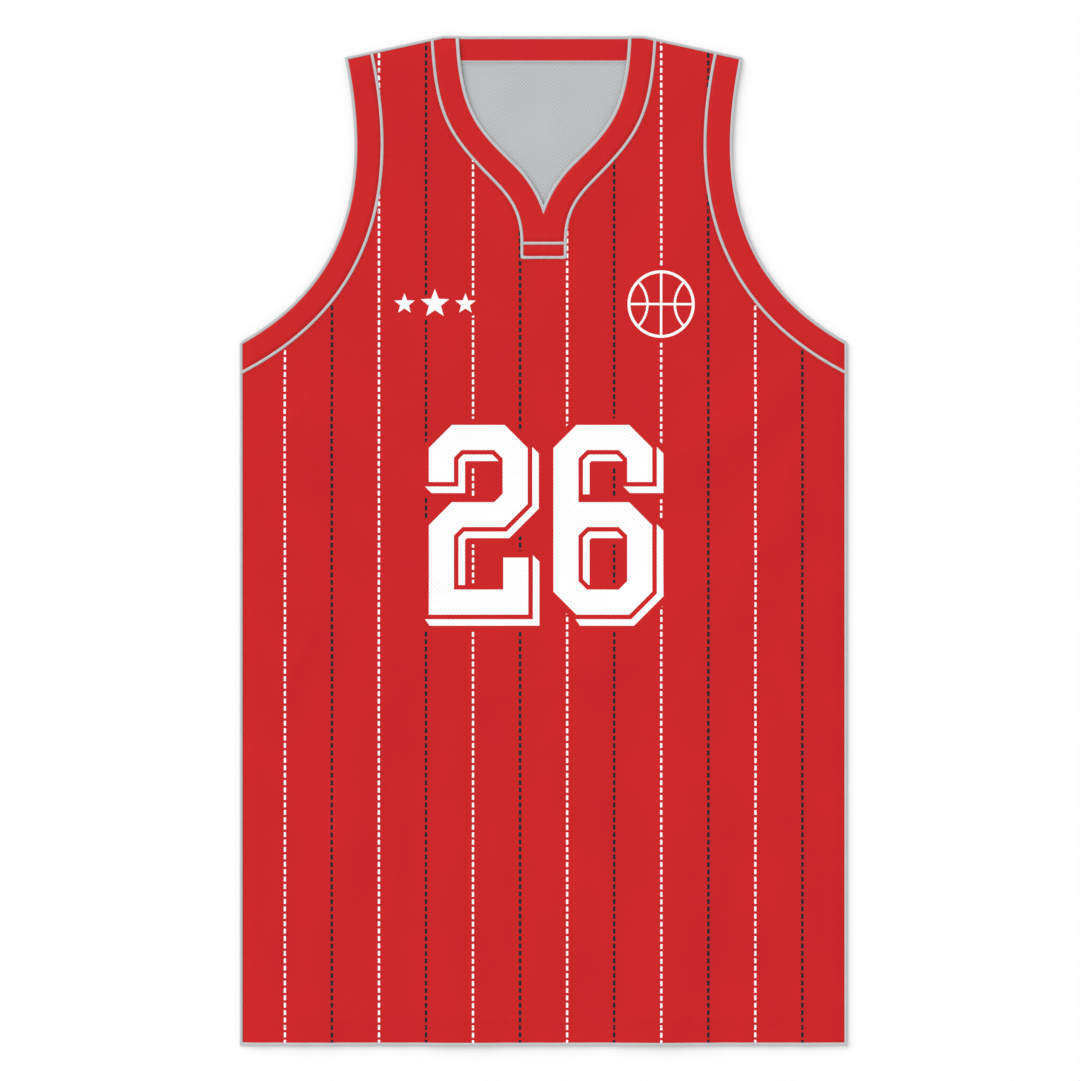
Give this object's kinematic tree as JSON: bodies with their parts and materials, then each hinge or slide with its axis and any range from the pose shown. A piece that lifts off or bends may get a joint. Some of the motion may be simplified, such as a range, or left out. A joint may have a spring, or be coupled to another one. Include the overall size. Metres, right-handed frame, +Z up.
{
  "type": "basketball jersey",
  "caption": "Sleeveless sports jersey laid flat, with a notched V neck, banded armholes, piped seams and a straight hem.",
  "frame": {"origin": "under the middle of the laid-out garment, on the surface that it lies on", "axes": "+X to the viewer's right as they look down at the front, +Y towards the neck, +Z up out of the front"},
  "size_m": [0.4886, 0.812, 0.0066],
  "materials": {
    "mesh_knit": "matte",
    "rib_knit": "matte",
    "satin_piping": "satin"
  },
  "bodies": {
    "root": {"front_panel": "mesh_knit", "back_panel": "mesh_knit", "front_collar": "rib_knit", "back_collar": "rib_knit", "collar_tab": "rib_knit", "front_band_left": "rib_knit", "front_band_right": "rib_knit", "back_band_left": "rib_knit", "back_band_right": "rib_knit", "collar_piping": "satin_piping", "collar_edging": "satin_piping", "tab_piping": "satin_piping", "back_collar_piping": "satin_piping", "back_neck_edging": "satin_piping", "front_armhole_piping_left": "satin_piping", "front_armhole_piping_right": "satin_piping", "front_armhole_edging_left": "satin_piping", "front_armhole_edging_right": "satin_piping", "back_armhole_piping_left": "satin_piping", "back_armhole_piping_right": "satin_piping", "back_armhole_edging_left": "satin_piping", "back_armhole_edging_right": "satin_piping", "shoulder_piping_left": "satin_piping", "shoulder_piping_right": "satin_piping", "side_piping_left": "satin_piping", "side_piping_right": "satin_piping", "hem_edging_front": "satin_piping", "hem_edging_back": "satin_piping"}
  },
  "joints": []
}
